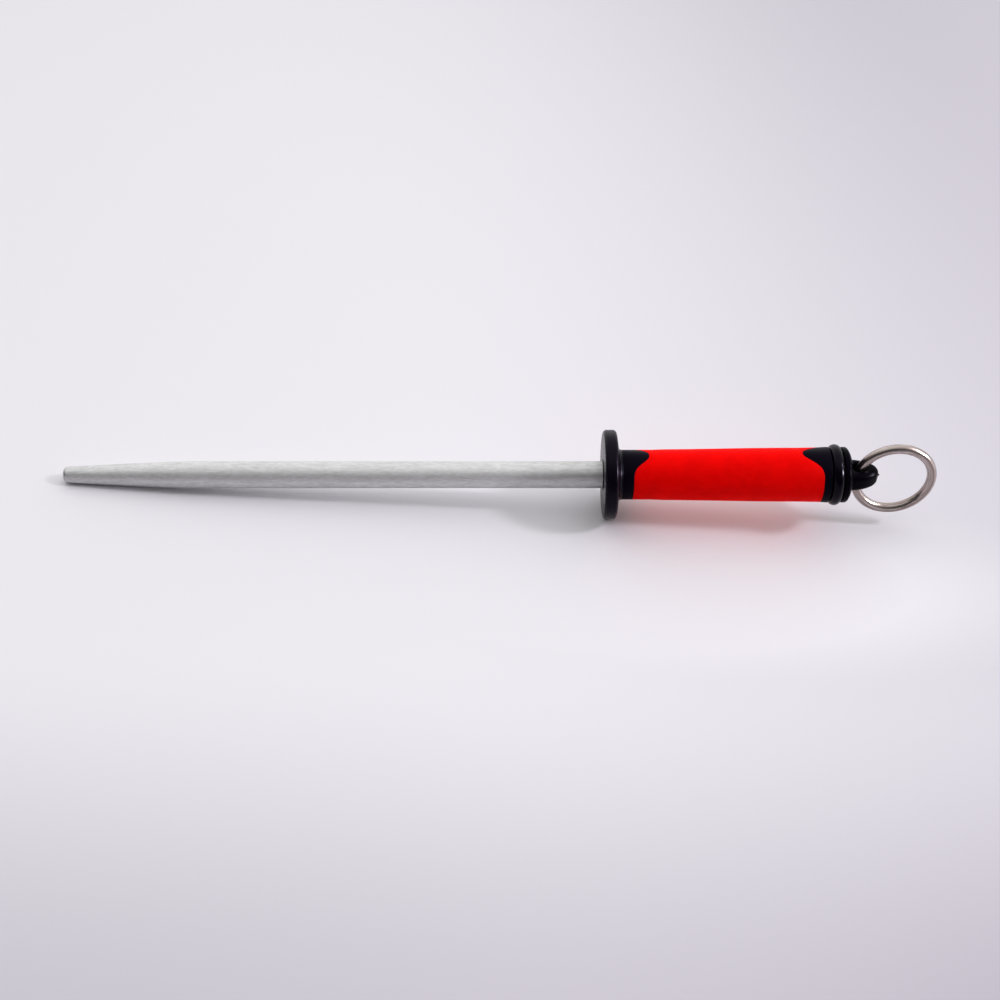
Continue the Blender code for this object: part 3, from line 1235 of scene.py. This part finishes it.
@dataclass
class HangingRing:
    """Closed ring of round wire, butt-welded, hung through the tab."""

    tool: ToolFrame
    radius: float = 21.0 * MM
    wire: float = 2.65 * MM
    turns: int = 192
    sides: int = 40
    weld_place: float = math.radians(-38)
    weld_width: float = math.radians(3.2)
    weld_height: float = 0.07 * MM

    def build(self) -> bpy.types.Object:
        """Shape the ring and its weld.

        Returns:
            The ring.
        """
        joint = next(j for j in frame["record"]["behaviour"]["joints"] if j["name"] == RING_JOINT)
        pivot, swing = Vector(joint["pos_m"]), Vector(joint["axis"])
        across = Vector((0.0, 1.0, 0.0))
        outward = across.cross(swing)
        bench = Bench("ring_wire")
        bench.torus(self.radius, self.wire, self.turns, self.sides)
        self.weld(bench)
        axes = Matrix((outward, swing, outward.cross(swing))).transposed().to_4x4()
        centre = pivot + outward * self.radius
        piece = place(bench.close(), Matrix.Translation(centre) @ axes)
        finish = DrawnWire("drawn_wire", self.tool, self.tool.matrix.inverted() @ centre,
                           self.radius / MM)
        return dress(piece, finish, Body.RING, Slot.RING_STEEL, "hanging_ring")

    def weld(self, bench: Bench) -> None:
        """Raise a low collar where the wire's ends were welded.

        Args:
            bench: The ring under work.
        """
        step = math.tau / self.turns
        near = round(self.weld_place / step)
        for offset in (-2, -1, 0, 1, 2):
            angle = (near + offset) * step
            middle = Vector((math.cos(angle), math.sin(angle), 0.0)) * self.radius
            height = self.weld_height * math.exp(-((offset * step / self.weld_width) ** 2))
            bench.select(lambda co: abs(math.remainder(math.atan2(co.y, co.x) - angle, math.tau))
                         < step / 4)
            grow = 1.0 + height / self.wire
            bpy.ops.transform.resize(value=(grow, grow, grow), center_override=tuple(middle))


@dataclass
class Studio:
    """Pale floor, a tent of soft light, a key and a highlight lamp at the butt, and the camera."""

    tool: ToolFrame
    floor_size: float = 6.0
    floor_sides: int = 96
    floor_roughness: float = 0.6
    floor_gloss: float = 0.2
    floor_colour: Colour = (0.775, 0.752, 0.800)
    # painted shade: the colour that the floor darkens towards where the light falls off
    floor_shade: Colour = (0.04, 0.0, 0.09)
    pool_centre: Pair = (-0.314, -1.0)
    pool_size: Pair = (0.541, 2.42)
    pool_range: Pair = (0.615, 1.535)
    side_fall: float = 0.328
    front_range: Pair = (-0.1215, -0.350)
    front_fall: float = 0.322
    most_fall: float = 0.42
    lift_centre: Pair = (0.135, -0.050)
    lift_size: Pair = (0.22, 0.085)
    lift_range: Pair = (1.0, 0.2)
    lift: float = 0.20
    lens: float = 54.0
    sensor: float = 36.0
    view_width: float = 556.793 * MM
    elevation: float = math.radians(40)
    aim_along: float = -57.2 * MM
    aim_drop: float = 14.1 * MM
    key_slope: Triple = (1.17, -0.09, 1.0)
    key_distance: float = 2.2
    key_size: Pair = (0.30, 0.30)
    key_power: float = 16.0
    key_colour: Colour = (1.0, 0.95, 1.04)
    rim_slope: Triple = (0.90, -0.23, 0.37)
    rim_distance: float = 1.5
    rim_aim: float = 60 * MM
    rim_size: Pair = (0.14, 0.24)
    rim_power: float = 45.0
    rim_colour: Colour = (1.0, 0.99, 1.0)
    tent_back: float = 0.65
    tent_up: float = 0.75
    tent_range: Pair = (-0.05, 0.75)
    tent_dark: float = 0.085
    tent_bright: float = 1.33
    tent_colour: Colour = (0.985, 0.995, 0.975)
    backdrop: float = 0.72

    def floor(self) -> None:
        """Lay the floor, with painted shade that darkens it to the right and in front, and a
        painted pool of light.
        """
        bpy.ops.object.select_all(action="DESELECT")
        bpy.ops.mesh.primitive_circle_add(vertices=self.floor_sides, radius=self.floor_size / 2,
                                          fill_type=Fill.FACE.value)
        ground = bpy.context.object
        ground.name = "floor"
        recipe = Recipe.material("pale_floor", self.tool)
        across, back, _ = recipe.split(recipe.add("ShaderNodeTexCoord", {}, {}, "Object"))

        def off(centre: Pair, size: Pair) -> Signal:
            """Measure how far out of an ellipse the floor's points lie.

            Args:
                centre: The ellipse's centre.
                size: Its half widths.

            Returns:
                The distance, 1 on the ellipse.
            """
            right = (across - centre[0]) / size[0]
            behind = (back - centre[1]) / size[1]
            return (right * right + behind * behind).root()

        # painted light and shade: darker to the sides and in front, lifted in a painted pool of
        # light in front of the handle
        side = off(self.pool_centre, self.pool_size).ramp(*self.pool_range) * self.side_fall
        front = back.ramp(*self.front_range) * self.front_fall
        lift = off(self.lift_centre, self.lift_size).ramp(*self.lift_range) * self.lift
        fall = (front + side - lift).at_most(self.most_fall)
        tone = recipe.mix(fall, self.floor_colour, self.floor_shade)
        recipe.finish(Base_Color=tone, Roughness=self.floor_roughness,
                      Specular_IOR_Level=self.floor_gloss)
        ground.data.materials.append(bpy.data.materials["pale_floor"])

    def lamp(self, name: str, at: Vector, aim: Vector, size: Pair, power: float,
             colour: Colour, soft: bool = True) -> None:
        """Hang a rectangular softbox.

        Args:
            name: Its name.
            at: Its place.
            aim: The point that it faces.
            size: Its width and height.
            power: Its power in watts.
            colour: Its colour.
            soft: False for a lamp that only makes highlights.
        """
        data = bpy.data.lights.new(name, "AREA")
        data.shape = "RECTANGLE"
        data.size, data.size_y = size
        data.energy = power
        data.color = colour
        light = bpy.data.objects.new(name, data)
        bpy.context.scene.collection.objects.link(light)
        light.location = at
        light.rotation_euler = (aim - at).to_track_quat("-Z", "Y").to_euler()
        light.visible_camera = False
        light.visible_diffuse = soft

    def lights(self) -> None:
        """Hang the key light over the guard and a lamp that only makes highlights at the butt."""
        guard = self.tool.origin
        key = Vector(self.key_slope).normalized()
        self.lamp("key", guard + key * self.key_distance, guard, self.key_size, self.key_power,
                  self.key_colour)
        low = Vector(self.rim_slope).normalized()
        butt = guard + Vector((self.rim_aim, 0.0, 0.0))
        self.lamp("rim", butt + low * self.rim_distance, butt, self.rim_size, self.rim_power,
                  self.rim_colour, False)

    def world(self) -> None:
        """Light the surroundings like a tent: bright above and behind, darker in front."""
        world = bpy.data.worlds.new("studio")
        bpy.context.scene.world = world
        world.use_nodes = True
        recipe = Recipe(world.node_tree, world.node_tree.nodes["Background"], self.tool)
        way = recipe.add("ShaderNodeTexCoord", {}, {}, "Generated")
        _, back, up = recipe.split(way)
        tent = (back * self.tent_back + up * self.tent_up).ramp(*self.tent_range)
        level = tent * (self.tent_bright - self.tent_dark) + self.tent_dark
        seen = recipe.add("ShaderNodeLightPath", {}, {}, "Is Camera Ray")
        level = level * (1.0 - seen) + seen * self.backdrop
        recipe.feed(recipe.shader.inputs["Color"], self.tent_colour)
        recipe.feed(recipe.shader.inputs["Strength"], level)

    def camera(self) -> None:
        """Stand the camera so that the bar lies level and square to the view."""
        slope = self.tool.slope
        along = Vector((math.cos(slope), 0.0, math.sin(slope)))
        turn = math.asin(math.tan(slope) * math.tan(self.elevation))
        level = math.cos(self.elevation)
        forward = Vector((math.sin(turn) * level, math.cos(turn) * level,
                          -math.sin(self.elevation)))
        up = along.cross(forward)
        distance = self.view_width * self.lens / self.sensor
        aim = self.tool.origin + along * self.aim_along - up * self.aim_drop
        data = bpy.data.cameras.new("camera")
        data.lens = self.lens
        data.sensor_width = self.sensor
        camera = bpy.data.objects.new("camera", data)
        bpy.context.scene.collection.objects.link(camera)
        axes = Matrix((along, up, -forward)).transposed().to_4x4()
        camera.matrix_world = Matrix.Translation(aim - forward * distance) @ axes
        bpy.context.scene.camera = camera


def main() -> None:
    """Build the looks of the sharpening steel and its studio."""
    logging.basicConfig(level=logging.INFO, format="%(name)s %(message)s")
    tool = ToolFrame.from_record(frame["record"])
    studio = Studio(tool)
    studio.camera()
    studio.floor()
    studio.lights()
    studio.world()
    bpy.context.scene.view_settings.view_transform = "Standard"
    SharpeningBar(tool).build()
    FingerGuard(tool).build()
    handle = Handle(tool)
    handle.core()
    handle.grip()
    butt = Butt(tool)
    butt.bead()
    butt.cap()
    HangingRing(tool).build()


if __name__ == "__main__":
    main()
